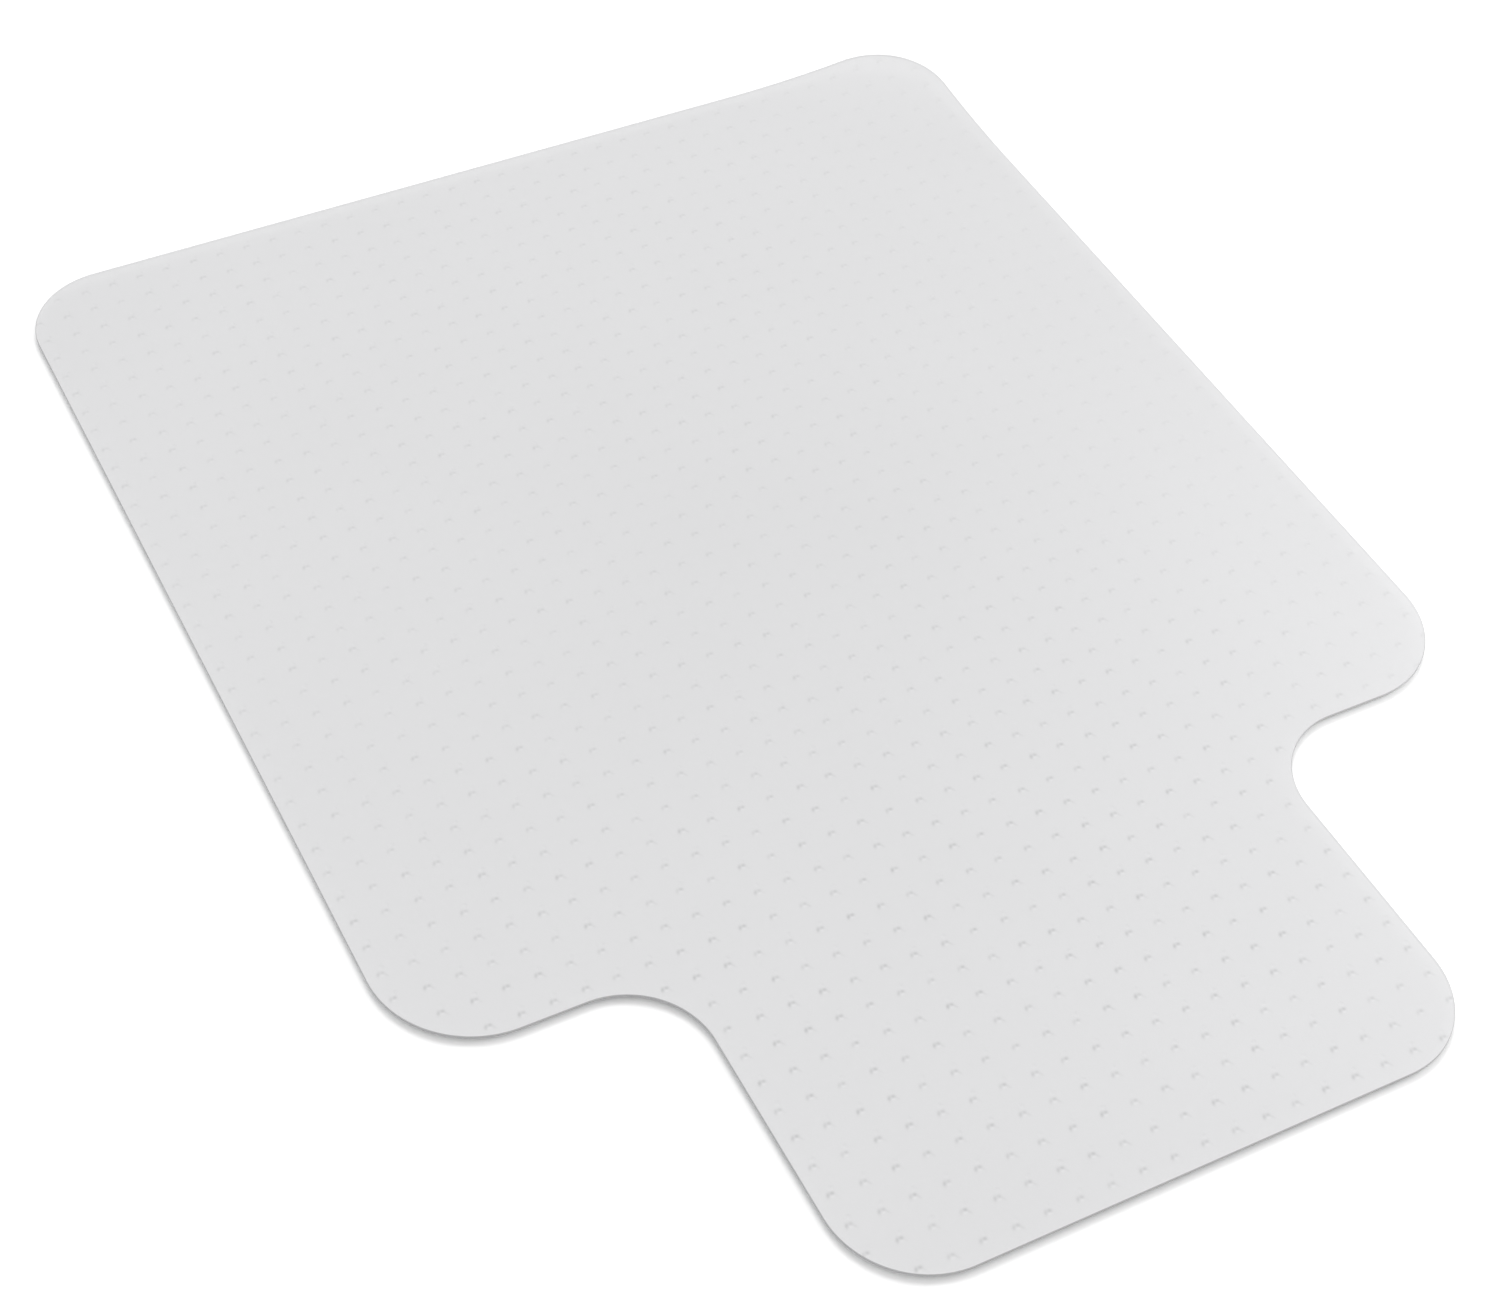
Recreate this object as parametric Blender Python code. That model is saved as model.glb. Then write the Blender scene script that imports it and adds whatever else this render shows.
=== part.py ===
"""Carpet chair mat with a lip: a thin translucent sheet that stands on rows of grip studs.

The mat is one moulding. It is modelled as the sheet and one piece for each row of studs,
so that every part of it can be named and replaced. Metres, +Z up. The origin is under the
middle of the mat, on the plane of the stud tips. The lip points along -Y.
"""

import math

import bmesh
import bpy
from mathutils import Matrix, Vector
from mathutils.geometry import intersect_point_line

# Driving dimensions: the outline.
MAT_WIDTH = 0.9144
MAT_LENGTH = 1.2192
LIP_WIDTH = 0.508
LIP_LENGTH = 0.3048
LIP_RADIUS = 0.0762
SHOULDER_RADIUS = 0.0840
BACK_RADIUS = 0.0740
NOTCH_RADIUS = 0.0685

# Driving dimensions: the sheet.
SHEET_THICKNESS = 0.0020
RIM_CHAMFER = 0.0005

# Driving dimensions: the studs.
STUD_LENGTH = 0.0040
STUD_BASE = 0.0060
COLUMN_PITCH = 0.0254
ROW_PITCH = 0.0252
FIRST_ROW_INSET = 0.0203
COLUMN_SHIFT = 0.0007
STUD_TO_RIM = 0.0036

# The mat is cut from wide studded stock, a little out of square with its rows.
GRID_TURN = math.radians(0.25)

# A row's studs hang from a thin web, which stays clear of the sheet above it.
WEB_THICKNESS = 0.0006
SEAM_GAP = 0.0003

ARC_STEPS = 14
FLAT_ANGLE = math.radians(0.5)

# Derived sizes.
WEB_TOP = STUD_LENGTH - SEAM_GAP
WEB_BOTTOM = WEB_TOP - WEB_THICKNESS
COLUMN_COUNT = 2 * int(MAT_WIDTH / 2 / COLUMN_PITCH)
ROW_COUNT = 1 + int((MAT_LENGTH - FIRST_ROW_INSET - STUD_TO_RIM) / ROW_PITCH)


def clear_scene():
    for old in list(bpy.data.objects):
        bpy.data.objects.remove(old, do_unlink=True)


def plastic(name, colour, roughness):
    """A plain plastic: its colour and roughness, with no metal."""
    material = bpy.data.materials.new(name)
    material.use_nodes = True
    shader = material.node_tree.nodes["Principled BSDF"]
    shader.inputs["Base Color"].default_value = (*colour, 1.0)
    shader.inputs["Roughness"].default_value = roughness
    shader.inputs["Metallic"].default_value = 0.0
    return material


def add_object(name, mesh_maker, material):
    """Links one named object, whose mesh the bmesh in mesh_maker holds."""
    mesh = bpy.data.meshes.new(name)
    mesh_maker.to_mesh(mesh)
    mesh_maker.free()
    mesh.materials.append(material)
    made = bpy.data.objects.new(name, mesh)
    bpy.context.scene.collection.objects.link(made)
    return made


def outline_corners():
    """The outline's square corners and their radii, counter-clockwise from the lip's front left."""
    side = MAT_WIDTH / 2
    lip_side = LIP_WIDTH / 2
    back = MAT_LENGTH / 2
    front = -back
    shoulder = front + LIP_LENGTH
    return [
        (Vector((-lip_side, front)), LIP_RADIUS),
        (Vector((lip_side, front)), LIP_RADIUS),
        (Vector((lip_side, shoulder)), NOTCH_RADIUS),
        (Vector((side, shoulder)), SHOULDER_RADIUS),
        (Vector((side, back)), BACK_RADIUS),
        (Vector((-side, back)), BACK_RADIUS),
        (Vector((-side, shoulder)), SHOULDER_RADIUS),
        (Vector((-lip_side, shoulder)), NOTCH_RADIUS),
    ]


def rounded_outline():
    """The outline's points, with a quarter circle in place of each square corner."""
    corners = outline_corners()
    points = []
    for index, (corner, radius) in enumerate(corners):
        before = corners[index - 1][0]
        after = corners[(index + 1) % len(corners)][0]
        arriving = (corner - before).normalized()
        leaving = (after - corner).normalized()
        centre = corner + radius * (leaving - arriving)
        for step in range(ARC_STEPS + 1):
            turn = math.pi / 2 * step / ARC_STEPS
            points.append(centre + radius * (arriving * math.sin(turn) - leaving * math.cos(turn)))
    return points


def is_inside(point, outline):
    """True if the point is within the closed outline."""
    inside = False
    for start, end in zip(outline, outline[1:] + outline[:1]):
        if (start.y > point.y) != (end.y > point.y):
            crossing = start.x + (point.y - start.y) * (end.x - start.x) / (end.y - start.y)
            if point.x < crossing:
                inside = not inside
    return inside


def distance_to_rim(point, outline):
    """The distance from the point to the nearest place on the outline."""
    nearest = math.inf
    for start, end in zip(outline, outline[1:] + outline[:1]):
        on_line, fraction = intersect_point_line(point, start, end)
        on_side = start.lerp(end, min(max(fraction, 0.0), 1.0))
        nearest = min(nearest, (on_side.to_2d() - point).length)
    return nearest


def stud_rows(outline):
    """Each row's middle, with how far along the row each stud that is clear of the rim stands."""
    turn = Matrix.Rotation(GRID_TURN, 2)
    rows = []
    for row in range(ROW_COUNT):
        y = -MAT_LENGTH / 2 + FIRST_ROW_INSET + row * ROW_PITCH
        columns = []
        for column in range(COLUMN_COUNT):
            x = (column - (COLUMN_COUNT - 1) / 2) * COLUMN_PITCH + COLUMN_SHIFT
            place = turn @ Vector((x, y))
            if is_inside(place, outline) and distance_to_rim(place, outline) >= STUD_TO_RIM:
                columns.append(x)
        rows.append((turn @ Vector((0, y)), columns))
    return rows


def make_sheet(outline, material):
    """The flat sheet, with a small chamfer round its top edge."""
    maker = bmesh.new()
    lower = [maker.verts.new((point.x, point.y, STUD_LENGTH)) for point in outline]
    base = maker.faces.new(lower)
    raised = bmesh.ops.extrude_face_region(maker, geom=[base], use_keep_orig=True)
    top = [piece for piece in raised["geom"] if isinstance(piece, bmesh.types.BMFace)]
    top_verts = [piece for piece in raised["geom"] if isinstance(piece, bmesh.types.BMVert)]
    bmesh.ops.translate(maker, verts=top_verts, vec=(0, 0, SHEET_THICKNESS))
    bmesh.ops.recalc_face_normals(maker, faces=maker.faces)
    bmesh.ops.bevel(
        maker, geom=top[0].edges[:], offset=RIM_CHAMFER, segments=1, affect="EDGES"
    )
    return add_object("mat_sheet", maker, material)


def make_stud_row(number, middle, columns, material):
    """One row of pointed studs: diamonds in the underside of a thin web, drawn down to a point."""
    maker = bmesh.new()
    reach = STUD_BASE / 2

    def corner(x, y):
        return maker.verts.new((x, y, WEB_BOTTOM))

    lefts = [corner(x - reach, 0) for x in columns]
    rights = [corner(x + reach, 0) for x in columns]
    nears = [corner(x, -reach) for x in columns]
    fars = [corner(x, reach) for x in columns]
    studs = [maker.faces.new(diamond) for diamond in zip(lefts, fars, rights, nears)]

    # The web between each stud and the next, then what squares off its two ends.
    for i in range(len(columns) - 1):
        maker.faces.new((nears[i], rights[i], fars[i], fars[i + 1], lefts[i + 1], nears[i + 1]))
    start = columns[0] - reach
    end = columns[-1] + reach
    maker.faces.new((corner(start, -reach), lefts[0], nears[0]))
    maker.faces.new((corner(start, reach), fars[0], lefts[0]))
    maker.faces.new((corner(end, -reach), nears[-1], rights[-1]))
    maker.faces.new((corner(end, reach), rights[-1], fars[-1]))

    raised = bmesh.ops.extrude_face_region(maker, geom=maker.faces[:], use_keep_orig=True)
    top_verts = [piece for piece in raised["geom"] if isinstance(piece, bmesh.types.BMVert)]
    bmesh.ops.translate(maker, verts=top_verts, vec=(0, 0, WEB_THICKNESS))
    bmesh.ops.recalc_face_normals(maker, faces=maker.faces)
    bmesh.ops.poke(maker, faces=studs, offset=WEB_BOTTOM)
    bmesh.ops.dissolve_limit(
        maker, angle_limit=FLAT_ANGLE, verts=maker.verts, edges=maker.edges
    )
    row = add_object(f"stud_row_{number:02d}", maker, material)
    row.location = (middle.x, middle.y, 0)
    row.rotation_euler.z = GRID_TURN
    return row


def main():
    clear_scene()
    sheet_plastic = plastic("frosted_sheet", (0.72, 0.72, 0.73), 0.45)
    stud_plastic = plastic("clear_stud", (0.62, 0.63, 0.64), 0.30)
    outline = rounded_outline()
    make_sheet(outline, sheet_plastic)
    for number, (middle, columns) in enumerate(stud_rows(outline), start=1):
        make_stud_row(number, middle, columns, stud_plastic)


main()
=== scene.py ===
"""A frosted, translucent chair mat on its grip studs, on a white studio floor."""

import math
import random

import bmesh
import bpy
from mathutils import Euler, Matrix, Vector, kdtree


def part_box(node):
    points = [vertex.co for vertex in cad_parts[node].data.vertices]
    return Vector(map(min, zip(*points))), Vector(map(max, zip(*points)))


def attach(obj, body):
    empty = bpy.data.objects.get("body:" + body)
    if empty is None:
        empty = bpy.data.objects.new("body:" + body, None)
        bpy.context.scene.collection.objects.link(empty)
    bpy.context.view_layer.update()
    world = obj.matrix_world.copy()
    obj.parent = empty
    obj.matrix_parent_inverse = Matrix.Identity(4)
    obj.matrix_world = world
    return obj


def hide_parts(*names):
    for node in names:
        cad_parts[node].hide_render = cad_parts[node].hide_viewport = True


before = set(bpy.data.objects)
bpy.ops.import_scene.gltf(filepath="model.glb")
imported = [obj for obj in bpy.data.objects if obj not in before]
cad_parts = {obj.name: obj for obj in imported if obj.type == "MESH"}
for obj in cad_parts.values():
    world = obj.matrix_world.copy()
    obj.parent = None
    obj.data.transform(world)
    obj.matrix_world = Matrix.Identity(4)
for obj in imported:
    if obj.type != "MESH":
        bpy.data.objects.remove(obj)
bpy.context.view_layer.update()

# The sheet's place, from the CAD model.
SHEET_LOW, SHEET_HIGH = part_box("mat_sheet")
HALF_WIDTH = SHEET_HIGH[0]
HALF_LENGTH = SHEET_HIGH[1]
UNDERSIDE = SHEET_LOW[2]
TOP = SHEET_HIGH[2]

# The outline, as in the CAD model.
LIP_HALF_WIDTH = 0.254
LIP_LENGTH = 0.3048
LIP_RADIUS = 0.0762
SHOULDER_RADIUS = 0.084
BACK_RADIUS = 0.074
NOTCH_RADIUS = 0.0685
ARC_STEPS = 48

# The rim's section: a crisp lower edge, and a soft upper one with a low bead inside it.
LOW_EDGE_RADIUS = 0.0003
TOP_EDGE_RADIUS = 0.0005
BEAD_HEIGHT = 0.00022
BEAD_WIDTH = 0.0019
LOW_EDGE_STEPS = 3
TOP_EDGE_STEPS = 4
BEAD_STEPS = 6
EDGE_BANDS = LOW_EDGE_STEPS + 1 + TOP_EDGE_STEPS

# The studs: a blunt cone with a small fillet where it leaves the sheet.
STUD_BASE_RADIUS = 0.0030
STUD_TIP_RADIUS = 0.0006
STUD_FILLET = 0.0006
STUD_SEAT = 0.00002
STUD_SIDES = 16
FILLET_STEPS = 4
FLANK_STEPS = 4
TIP_STEPS = 3

# The shallow sink mark over each stud. Its depth and its middle vary a little.
SINK_RADIUS = 0.0032
SINK_DEPTH = 0.00018
SINK_DEPTH_SPREAD = (0.5, 1.4)
SINK_SHIFT = 0.0004
SINK_CLEARANCE = 1.1
SINK_RINGS = (1.0, 0.72, 0.45, 0.20)
SINK_SIDES = 12

# The sheet's mesh is cut along the studs' rows and columns, halfway between them, and once
# before the first, this share of half a pitch away.
FIRST_LINE = 0.6
CUT_TOLERANCE = 0.00001
SAME_PLACE = 0.0001
SHARP_ANGLE = math.radians(40)

# The curl of the back right corner, along the diagonal x + y.
CURL_START = 0.870
CURL_END = 1.018
CURL_HEIGHT = 0.0092

# Painted shade over each stud, standing in for the shading and refraction of the stud under the
# frosted top: an arch of soft dark strokes, the last of them a painted highlight, a glint. A
# stroke is (centre, slant in degrees, length, width, weight, spread), in millimetres from the
# mark's middle. Its weight grows by up to the spread, by chance.
STROKES = (
    ((-2.2, -0.4), 66, 2.2, 1.3, 0.5, 0.9),
    ((1.2, 0.1), -12, 1.7, 1.5, 0.8, 0.5),
    ((3.2, -2.6), -58, 2.2, 1.0, 0.0, 0.5),
    ((0.3, -2.2), 0, 1.6, 1.0, -0.3, 0.0),
)
MARK_SHIFT = Vector((-0.0024, -0.0047))
MARK_JITTER = (1.6, 1.2, 0)
MARK_DARKNESS = 0.118

# The painted stud shade gets fainter from the lip back, and out to the right: (from, to) in metres
# along Y or X, then the strength at each.
FADE_FROM_LIP = (-0.32, 0.0, 1.55, 0.85)
FADE_TO_RIGHT = (0.12, 0.42, 1.0, 0.5)

# The frosted sheet. Its colour is painted a shade darker in its middle and lighter out by the rim,
# painted shade and light: (distance from the middle, tone). A pair that isn't a colour or a
# distance is a range, (lowest, highest).
SHEET_COLOUR = (0.606, 0.606, 0.613)
SHEET_ALPHA = 0.80
SHEET_ROUGHNESS = (0.40, 0.56)
PAINTED_SHADE_MIDDLE = (0.10, 0.974)
PAINTED_LIGHT_RIM = (0.55, 1.020)
CLOUD_SCALE = 4.0
CLOUD_TONE = (0.985, 1.015)
GRAIN_SCALE = 700.0
GRAIN_STRENGTH = 0.25
GRAIN_DEPTH = 0.0002

# The die-cut edge. Its dark colour is the vinyl's deeper tint seen end on, and painted shade on
# the cut face.
SHADED_EDGE_COLOUR = (0.36, 0.36, 0.365)
EDGE_ALPHA = 0.92
EDGE_ROUGHNESS = (0.30, 0.45)
EDGE_TONE = (0.92, 1.08)
DRAG_SCALE = (900, 900, 90)

# The studs' plastic.
STUD_COLOUR = (0.74, 0.75, 0.76)
STUD_ALPHA = 0.35
STUD_ROUGHNESS = (0.15, 0.30)
STUD_TONE = (0.92, 1.0)
STUD_GRAIN_SCALE = 900.0

VINYL_IOR = 1.5

# The studio. A lamp is (place, target, size, power).
FLOOR_SIZE = 12
FLOOR_DROP = 0.0002
FLOOR_TONE = 0.9
FLOOR_ROUGHNESS = 0.9
KEY_LIGHT = ((2.95, 8.10, 12.28), (0, 0, 0), 7.5, 812)
SIDE_LIGHT = ((1.20, -0.62, 0.60), (0.3, -0.42, 0), 0.4, 4.9)

# The camera: millimetres, metres and degrees.
LENS = 68.2
SENSOR_WIDTH = 36
CAMERA_SHIFT = (0.040, -0.0016)
CAMERA_PLACE = (-0.8328, -1.3829, 1.6664)
CAMERA_HEADING = -28.35
CAMERA_DIP = 47.26
CAMERA_ROLL = 2.5


def outline(inset):
    """The outline's points this far in from the rim, counter-clockwise."""
    side = HALF_WIDTH - inset
    lip_side = LIP_HALF_WIDTH - inset
    back = HALF_LENGTH - inset
    front = -back
    shoulder = -HALF_LENGTH + LIP_LENGTH + inset
    corners = [
        (Vector((-lip_side, front)), LIP_RADIUS - inset),
        (Vector((lip_side, front)), LIP_RADIUS - inset),
        (Vector((lip_side, shoulder)), NOTCH_RADIUS + inset),
        (Vector((side, shoulder)), SHOULDER_RADIUS - inset),
        (Vector((side, back)), BACK_RADIUS - inset),
        (Vector((-side, back)), BACK_RADIUS - inset),
        (Vector((-side, shoulder)), SHOULDER_RADIUS - inset),
        (Vector((-lip_side, shoulder)), NOTCH_RADIUS + inset),
    ]
    points = []
    for index, (corner, radius) in enumerate(corners):
        before = corners[index - 1][0]
        after = corners[(index + 1) % len(corners)][0]
        arriving = (corner - before).normalized()
        leaving = (after - corner).normalized()
        centre = corner + radius * (leaving - arriving)
        for step in range(ARC_STEPS + 1):
            turn = math.pi / 2 * step / ARC_STEPS
            points.append(centre + radius * (arriving * math.sin(turn) - leaving * math.cos(turn)))
    return points


def lift(x, y):
    """How far the sheet stands above its flat place here."""
    along = max(0.0, (x + y - CURL_START) / (CURL_END - CURL_START))
    return CURL_HEIGHT * along * along


def bend(maker):
    """Lifts the curled corner of whatever the bmesh holds."""
    for vert in maker.verts:
        vert.co.z += lift(vert.co.x, vert.co.y)


def finish_piece(name, maker, material, node):
    """Makes the piece that the bmesh holds, which stands for the CAD node."""
    mesh = bpy.data.meshes.new(name)
    maker.to_mesh(mesh)
    maker.free()
    mesh.shade_smooth()
    mesh.set_sharp_from_angle(angle=SHARP_ANGLE)
    mesh.materials.append(material)
    piece = bpy.data.objects.new(name, mesh)
    bpy.context.scene.collection.objects.link(piece)
    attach(piece, "root")
    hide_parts(node)
    return piece


def stud_places(node):
    """Where the CAD model's studs of this row touch the floor."""
    tips = {}
    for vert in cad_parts[node].data.vertices:
        if vert.co.z < UNDERSIDE / 4:
            tips[round(vert.co.x, 4)] = Vector(vert.co[:2])
    return [tips[key] for key in sorted(tips)]


STUD_ROWS = {
    node: stud_places(node)
    for node in sorted(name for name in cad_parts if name.startswith("stud_row_"))
}
STUDS = [place for row in STUD_ROWS.values() for place in row]
LONGEST_ROW = max(STUD_ROWS.values(), key=len)
ALONG_ROW = (LONGEST_ROW[-1] - LONGEST_ROW[0]).normalized()
ACROSS_ROWS = Vector((-ALONG_ROW.y, ALONG_ROW.x))
ROW_ANGLE = math.atan2(ALONG_ROW.y, ALONG_ROW.x)
COLUMN_PLACES = sorted({round(stud.dot(ALONG_ROW), 5) for stud in STUDS})
ROW_PLACES = sorted({round(stud.dot(ACROSS_ROWS), 5) for stud in STUDS})


def grid_lines(places):
    """The studs' places in one direction, the middles between them, and one line before them."""
    middles = [(near + far) / 2 for near, far in zip(places, places[1:])]
    margin = middles[0] - places[0]
    return [places[0] - margin * FIRST_LINE] + places + middles


def rim_section():
    """(inset, height) round the rim, from the underside up and in to the flat top."""
    section = []
    for step in range(LOW_EDGE_STEPS + 1):
        turn = math.pi / 2 * step / LOW_EDGE_STEPS
        inset = LOW_EDGE_RADIUS * (1 - math.sin(turn))
        section.append((inset, UNDERSIDE + LOW_EDGE_RADIUS * (1 - math.cos(turn))))
    crest = TOP + BEAD_HEIGHT
    for step in range(TOP_EDGE_STEPS + 1):
        turn = math.pi / 2 * step / TOP_EDGE_STEPS
        inset = TOP_EDGE_RADIUS * (1 - math.cos(turn))
        section.append((inset, crest - TOP_EDGE_RADIUS * (1 - math.sin(turn))))
    for step in range(1, BEAD_STEPS + 1):
        fraction = step / BEAD_STEPS
        inset = TOP_EDGE_RADIUS + (BEAD_WIDTH - TOP_EDGE_RADIUS) * fraction
        section.append((inset, TOP + BEAD_HEIGHT * (1 + math.cos(math.pi * fraction)) / 2))
    return section


def nearest_side(offset):
    """The number of the sink mark's side that lies this way from its middle."""
    turn = math.atan2(offset.y, offset.x) - ROW_ANGLE
    return round(turn / (2 * math.pi) * SINK_SIDES)


def add_sink_mark(maker, centre, chance):
    """Turns the four faces that meet over a stud into a shallow round dish."""
    faces = list(centre.link_faces)
    if len(centre.link_edges) != 4 or len(faces) != 4:
        return
    around = {vert for face in faces for vert in face.verts if vert != centre}
    if min((vert.co - centre.co).length for vert in around) < SINK_RADIUS * SINK_CLEARANCE:
        return
    depth = SINK_DEPTH * chance.uniform(*SINK_DEPTH_SPREAD)
    shift_x = chance.uniform(-SINK_SHIFT, SINK_SHIFT)
    shift = Vector((shift_x, chance.uniform(-SINK_SHIFT, SINK_SHIFT), 0))
    middle = centre.co.copy()
    rings = []
    for share in SINK_RINGS:
        drop = depth * (1 - share * share) ** 2
        ring = []
        for side in range(SINK_SIDES):
            turn = ROW_ANGLE + 2 * math.pi * side / SINK_SIDES
            out = Vector((math.cos(turn), math.sin(turn), 0)) * SINK_RADIUS * share
            ring.append(maker.verts.new(middle + out + shift * (1 - share) - Vector((0, 0, drop))))
        rings.append(ring)
    bottom = maker.verts.new(middle + shift - Vector((0, 0, depth)))

    # Each of the four faces gives up its corner for a quarter of the outer ring.
    quarter = SINK_SIDES // 4
    for face in faces:
        verts = list(face.verts)
        at = verts.index(centre)
        first = nearest_side(verts[at - 1].co - middle)
        last = nearest_side(verts[(at + 1) % len(verts)].co - middle)
        step = -1 if (last - first) % SINK_SIDES > SINK_SIDES // 2 else 1
        arc = [rings[0][(first + step * k) % SINK_SIDES] for k in range(quarter + 1)]
        maker.faces.new(verts[:at] + arc + verts[at + 1:])
    maker.verts.remove(centre)
    for outer, inner in zip(rings, rings[1:]):
        for i in range(SINK_SIDES):
            maker.faces.new((outer[i - 1], outer[i], inner[i], inner[i - 1]))
    for i in range(SINK_SIDES):
        maker.faces.new((rings[-1][i - 1], rings[-1][i], bottom))


def make_sheet(top_material, edge_material):
    """The sheet with its rounded rim, and a sink mark over each stud."""
    maker = bmesh.new()
    rings = []
    for inset, height in rim_section():
        rings.append([maker.verts.new((p.x, p.y, height)) for p in outline(inset)])
    for level, (lower, upper) in enumerate(zip(rings, rings[1:])):
        for i in range(len(lower)):
            face = maker.faces.new((lower[i - 1], lower[i], upper[i], upper[i - 1]))
            face.material_index = 1 if level < EDGE_BANDS else 0
    maker.faces.new(list(reversed(rings[0])))
    maker.faces.new(rings[-1])
    for direction, places in ((ALONG_ROW, COLUMN_PLACES), (ACROSS_ROWS, ROW_PLACES)):
        normal = direction.to_3d()
        for place in grid_lines(places):
            bmesh.ops.bisect_plane(
                maker, geom=maker.verts[:] + maker.edges[:] + maker.faces[:],
                dist=CUT_TOLERANCE, plane_co=normal * place, plane_no=normal,
            )
    maker.verts.ensure_lookup_table()
    tree = kdtree.KDTree(len(maker.verts))
    for index, vert in enumerate(maker.verts):
        tree.insert(vert.co, index)
    tree.balance()
    centres = []
    for stud in STUDS:
        _, index, distance = tree.find((stud.x, stud.y, TOP))
        if distance < SAME_PLACE:
            centres.append(maker.verts[index])
    chance = random.Random(7)
    for centre in centres:
        add_sink_mark(maker, centre, chance)
    bend(maker)
    sheet = finish_piece("frosted_mat", maker, top_material, "mat_sheet")
    sheet.data.materials.append(edge_material)
    level = sheet.modifiers.new("flat_stays_flat", "WEIGHTED_NORMAL")
    level.mode = "FACE_AREA"
    level.keep_sharp = True


def stud_section():
    """(radius, height) down a stud, from its base to its tip."""
    section = []
    seat = UNDERSIDE - STUD_SEAT
    for step in range(FILLET_STEPS):
        turn = math.pi / 2 * step / FILLET_STEPS
        flare = STUD_FILLET * (1 - math.sin(turn))
        section.append((STUD_BASE_RADIUS + flare, seat - STUD_FILLET * (1 - math.cos(turn))))
    top = seat - STUD_FILLET
    for step in range(FLANK_STEPS + 1):
        t = step / FLANK_STEPS
        radius = STUD_BASE_RADIUS * (1 - t) + STUD_TIP_RADIUS * t
        section.append((radius, top - (top - STUD_TIP_RADIUS) * t))
    for step in range(1, TIP_STEPS):
        turn = math.pi / 2 * step / TIP_STEPS
        section.append((STUD_TIP_RADIUS * math.cos(turn), STUD_TIP_RADIUS * (1 - math.sin(turn))))
    return section


def add_stud(maker, place, section):
    """One closed stud, turned from its section."""
    rings = []
    for radius, height in section:
        ring = []
        for side in range(STUD_SIDES):
            turn = 2 * math.pi * side / STUD_SIDES
            x = place.x + radius * math.cos(turn)
            ring.append(maker.verts.new((x, place.y + radius * math.sin(turn), height)))
        rings.append(ring)
    tip = maker.verts.new((place.x, place.y, 0))
    maker.faces.new(rings[0])
    for upper, lower in zip(rings, rings[1:]):
        for i in range(STUD_SIDES):
            maker.faces.new((upper[i], upper[i - 1], lower[i - 1], lower[i]))
    for i in range(STUD_SIDES):
        maker.faces.new((rings[-1][i], rings[-1][i - 1], tip))


def make_stud_rows(material):
    """One piece for each of the CAD model's stud rows."""
    section = stud_section()
    for node, row in STUD_ROWS.items():
        maker = bmesh.new()
        for place in row:
            add_stud(maker, place, section)
        bend(maker)
        name = node.replace("stud_row", "studs")
        finish_piece(name, maker, material, node)


def add(tree, kind, *sources, output=0, **settings):
    """A new shader node. Each source is a socket to link or a value to set, in socket order."""
    made = tree.nodes.new("ShaderNode" + kind)
    for key, value in settings.items():
        setattr(made, key, value)
    for slot, source in zip(made.inputs, sources):
        if isinstance(source, bpy.types.NodeSocket):
            tree.links.new(source, slot)
        elif source is not None:
            slot.default_value = source
    return made.outputs[output]


def maths(tree, operation, *sources):
    """A new node for one operation on numbers."""
    return add(tree, "Math", *sources, operation=operation)


def vectors(tree, operation, *sources):
    """A new node for one operation on vectors."""
    return add(tree, "VectorMath", *sources, operation=operation)


def turned(tree, vector, degrees):
    """The vector turned round Z by this angle."""
    angle = math.radians(degrees)
    return add(tree, "VectorRotate", vector, None, None, angle, rotation_type="Z_AXIS")


def between(tree, fraction, low, high):
    """The number this fraction of the way from low to high."""
    return maths(tree, "MULTIPLY_ADD", fraction, high - low, low)


def stroke(tree, local, centre, slant, length, width):
    """A soft stroke: 1 in its middle, falling off along its slant and across it."""
    offset = vectors(tree, "SUBTRACT", local, (*centre, 0))
    scaled = vectors(tree, "MULTIPLY", turned(tree, offset, -slant), (1 / length, 1 / width, 0))
    squared = add(tree, "VectorMath", scaled, scaled, operation="DOT_PRODUCT", output="Value")
    return maths(tree, "EXPONENT", maths(tree, "MULTIPLY", squared, -1.0))


def painted_stud_shade(tree, place):
    """How dark the painted shade over the studs is here, less their painted highlights."""
    first = Vector((COLUMN_PLACES[0], ROW_PLACES[0]))
    pitch = Vector((COLUMN_PLACES[1], ROW_PLACES[1])) - first
    corner = first - pitch / 2 + MARK_SHIFT
    in_rows = turned(tree, place, -math.degrees(ROW_ANGLE))
    from_corner = vectors(tree, "SUBTRACT", in_rows, corner.to_3d())
    cells = vectors(tree, "DIVIDE", from_corner, (pitch.x, pitch.y, 1))
    cell = vectors(tree, "FLOOR", cells)
    chance = add(tree, "TexWhiteNoise", cell, output="Color")
    centred = vectors(tree, "SUBTRACT", vectors(tree, "SUBTRACT", cells, cell), (0.5, 0.5, 0))
    millimetres = vectors(tree, "MULTIPLY", centred, pitch.to_3d() * 1000)
    jitter = vectors(tree, "SUBTRACT", chance, (0.5, 0.5, 0.5))
    local = vectors(tree, "SUBTRACT", millimetres, vectors(tree, "MULTIPLY", jitter, MARK_JITTER))

    chances = add(tree, "SeparateXYZ", chance).node.outputs
    dark = 0.0
    for index, (centre, slant, length, width, weight, spread) in enumerate(STROKES):
        share = between(tree, chances[index % len(chances)], weight, weight + spread)
        shape = stroke(tree, local, centre, slant, length, width)
        dark = maths(tree, "ADD", dark, maths(tree, "MULTIPLY", shape, share))

    across, along = add(tree, "SeparateXYZ", place).node.outputs[:2]
    near_lip = add(tree, "MapRange", along, *FADE_FROM_LIP)
    to_right = add(tree, "MapRange", across, *FADE_TO_RIGHT)
    strength = maths(tree, "MULTIPLY", near_lip, to_right)
    return maths(tree, "MULTIPLY", maths(tree, "MULTIPLY", dark, strength), MARK_DARKNESS)


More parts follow.
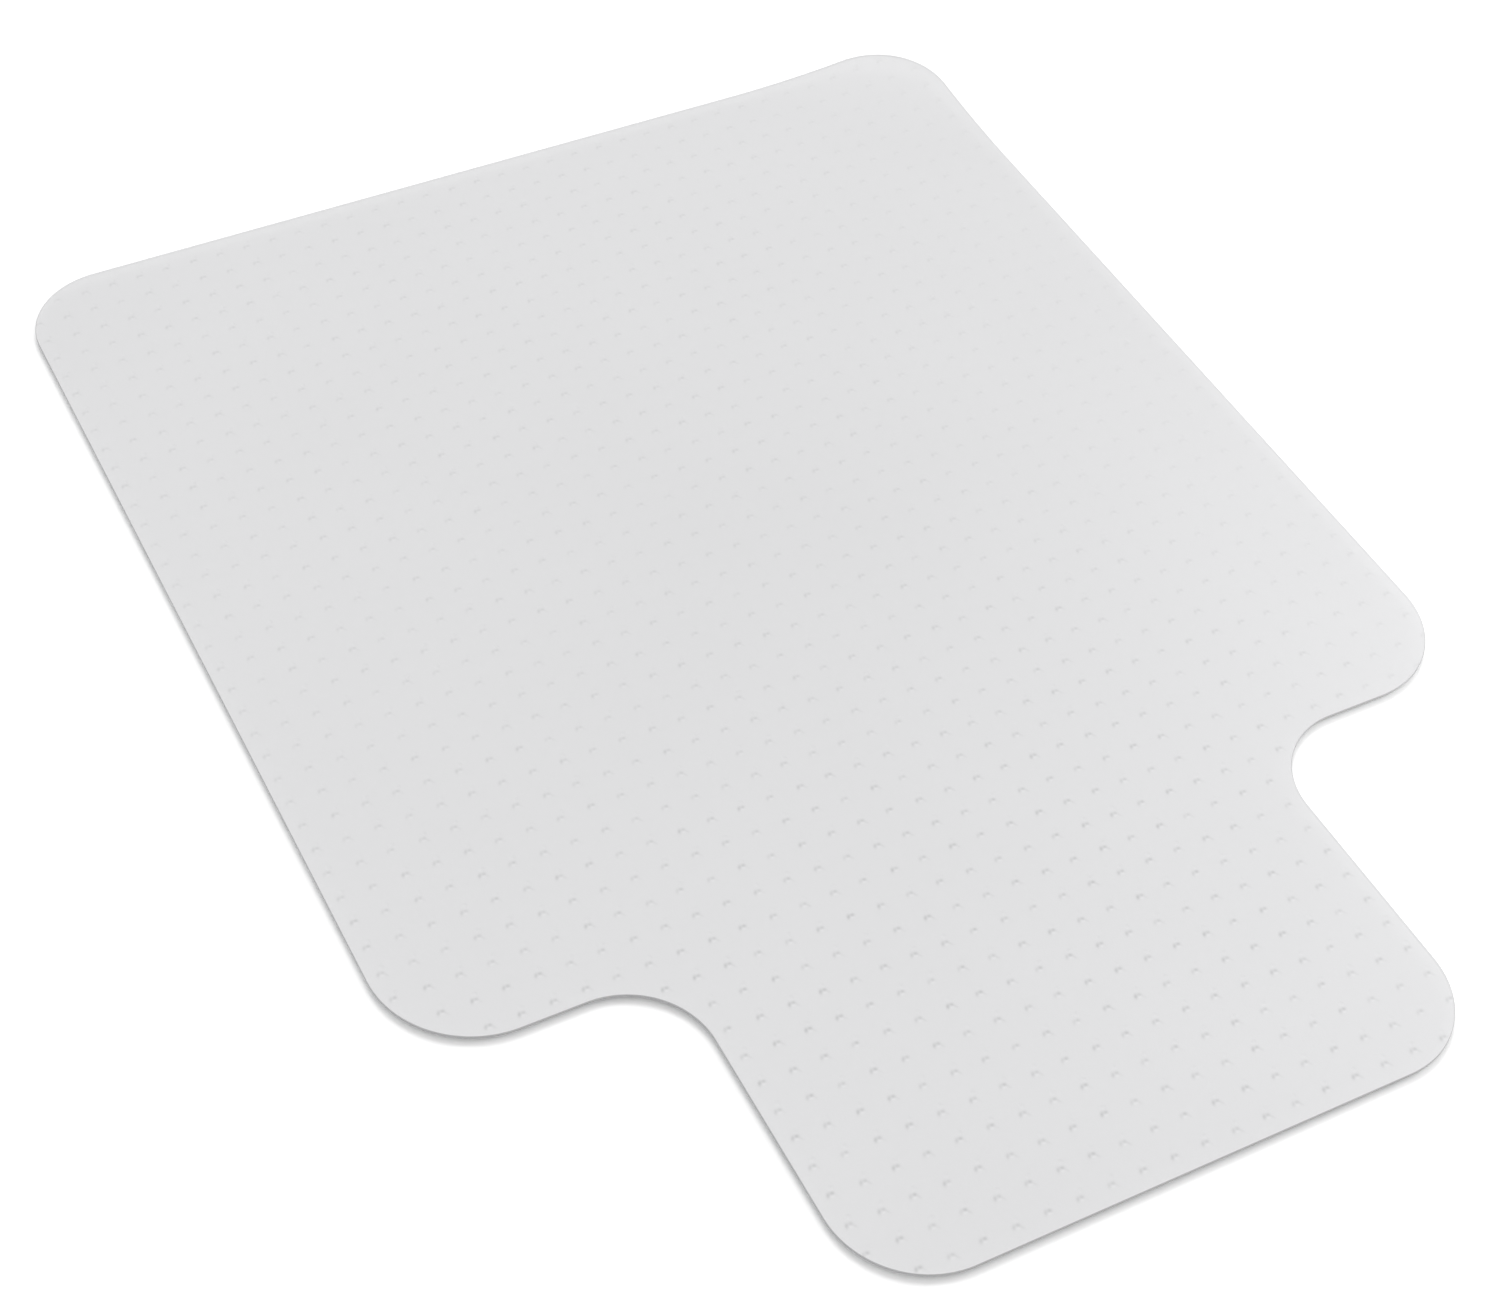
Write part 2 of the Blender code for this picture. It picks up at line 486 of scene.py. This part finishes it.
def vinyl(name, alpha):
    """A new vinyl of this clearness: its material, its shader, and where a point of it lies."""
    material = bpy.data.materials.new(name)
    material.use_nodes = True
    tree = material.node_tree
    shader = tree.nodes["Principled BSDF"]
    shader.inputs["IOR"].default_value = VINYL_IOR
    shader.inputs["Alpha"].default_value = alpha
    return material, shader, add(tree, "TexCoord", output="Object")


def colour_by(tree, shader, tone, colour):
    """Gives the shader this colour times the tone."""
    tree.links.new(vectors(tree, "MULTIPLY", tone, colour), shader.inputs["Base Color"])


def frosted_vinyl():
    """Cloudy pressed vinyl: matte, finely grained, with painted shade and highlights over the
    studs, painted shade in its middle and painted light by its rim.
    """
    material, shader, place = vinyl("frosted_vinyl", SHEET_ALPHA)
    tree = material.node_tree
    clouds = add(tree, "TexNoise", place, None, CLOUD_SCALE, 2.0)
    # Painted shade in the sheet's middle and painted light out by its rim.
    nearness = add(tree, "TexGradient", place, gradient_type="SPHERICAL")
    painted_shade_and_light = add(
        tree, "MapRange", nearness,
        1 - PAINTED_LIGHT_RIM[0], 1 - PAINTED_SHADE_MIDDLE[0], PAINTED_LIGHT_RIM[1], PAINTED_SHADE_MIDDLE[1],
    )
    cloudy_and_painted_shade = maths(tree, "MULTIPLY", between(tree, clouds, *CLOUD_TONE), painted_shade_and_light)
    # The dark arches and glints over the studs are painted shade and painted highlights.
    unshaded = maths(tree, "SUBTRACT", 1.0, painted_stud_shade(tree, place))
    colour_by(tree, shader, maths(tree, "MULTIPLY", cloudy_and_painted_shade, unshaded), SHEET_COLOUR)

    grain = add(tree, "TexNoise", place, None, GRAIN_SCALE, 3.0)
    tree.links.new(between(tree, grain, *SHEET_ROUGHNESS), shader.inputs["Roughness"])
    bump = tree.nodes.new("ShaderNodeBump")
    bump.inputs["Strength"].default_value = GRAIN_STRENGTH
    bump.inputs["Distance"].default_value = GRAIN_DEPTH
    tree.links.new(grain, bump.inputs["Height"])
    tree.links.new(bump.outputs["Normal"], shader.inputs["Normal"])
    return material


def shaded_cut_edge_vinyl():
    """The die-cut edge: the deeper, smoother tint of the vinyl seen end on, darkened further by
    painted shade, with drag lines.
    """
    material, shader, place = vinyl("shaded_cut_edge_vinyl", EDGE_ALPHA)
    tree = material.node_tree
    drag = vectors(tree, "MULTIPLY", place, DRAG_SCALE)
    lines = add(tree, "TexNoise", drag, None, 1.0, 2.0)
    # The edge's dark colour is partly painted shade on the cut face.
    colour_by(tree, shader, between(tree, lines, *EDGE_TONE), SHADED_EDGE_COLOUR)
    tree.links.new(between(tree, lines, *EDGE_ROUGHNESS), shader.inputs["Roughness"])
    return material


def clear_vinyl():
    """The studs' plastic, smoother and clearer than the sheet's frosted top."""
    material, shader, place = vinyl("clear_vinyl", STUD_ALPHA)
    tree = material.node_tree
    grain = add(tree, "TexNoise", place, None, STUD_GRAIN_SCALE, 2.0)
    colour_by(tree, shader, between(tree, grain, *STUD_TONE), STUD_COLOUR)
    tree.links.new(between(tree, grain, *STUD_ROUGHNESS), shader.inputs["Roughness"])
    return material


def studio_floor():
    """A plain white floor, just under the studs' tips."""
    bpy.ops.mesh.primitive_plane_add(size=FLOOR_SIZE, location=(0, 0, -FLOOR_DROP))
    floor = bpy.context.object
    floor.name = "studio_floor"
    white = bpy.data.materials.new("studio_white")
    white.use_nodes = True
    shader = white.node_tree.nodes["Principled BSDF"]
    shader.inputs["Base Color"].default_value = (FLOOR_TONE, FLOOR_TONE, FLOOR_TONE, 1)
    shader.inputs["Roughness"].default_value = FLOOR_ROUGHNESS
    floor.data.materials.append(white)


def white_world():
    """Even white light from all round."""
    world = bpy.data.worlds.new("studio")
    bpy.context.scene.world = world
    world.use_nodes = True
    background = world.node_tree.nodes["Background"]
    background.inputs["Color"].default_value = (1, 1, 1, 1)
    background.inputs["Strength"].default_value = 1.0


def softbox(name, place, target, size, power):
    """A square area lamp that faces the target."""
    data = bpy.data.lights.new(name, "AREA")
    data.shape = "SQUARE"
    data.size = size
    data.energy = power
    lamp = bpy.data.objects.new(name, data)
    lamp.location = place
    lamp.rotation_euler = (Vector(target) - Vector(place)).to_track_quat("-Z", "Y").to_euler()
    lamp.visible_camera = False
    bpy.context.scene.collection.objects.link(lamp)


def camera():
    """The camera, high over the mat's front left."""
    data = bpy.data.cameras.new("camera")
    data.lens = LENS
    data.sensor_width = SENSOR_WIDTH
    data.shift_x, data.shift_y = CAMERA_SHIFT
    data.clip_end = 50
    eye = bpy.data.objects.new("camera", data)
    eye.location = CAMERA_PLACE
    aim = Euler((math.radians(90 - CAMERA_DIP), 0, math.radians(CAMERA_HEADING))).to_matrix()
    roll = Euler((0, 0, math.radians(CAMERA_ROLL))).to_matrix()
    eye.rotation_euler = (aim @ roll).to_euler()
    bpy.context.scene.collection.objects.link(eye)
    bpy.context.scene.camera = eye


make_sheet(frosted_vinyl(), shaded_cut_edge_vinyl())
make_stud_rows(clear_vinyl())
studio_floor()
white_world()
softbox("key_light", *KEY_LIGHT)
softbox("side_light", *SIDE_LIGHT)
camera()
bpy.context.scene.view_settings.view_transform = "Standard"
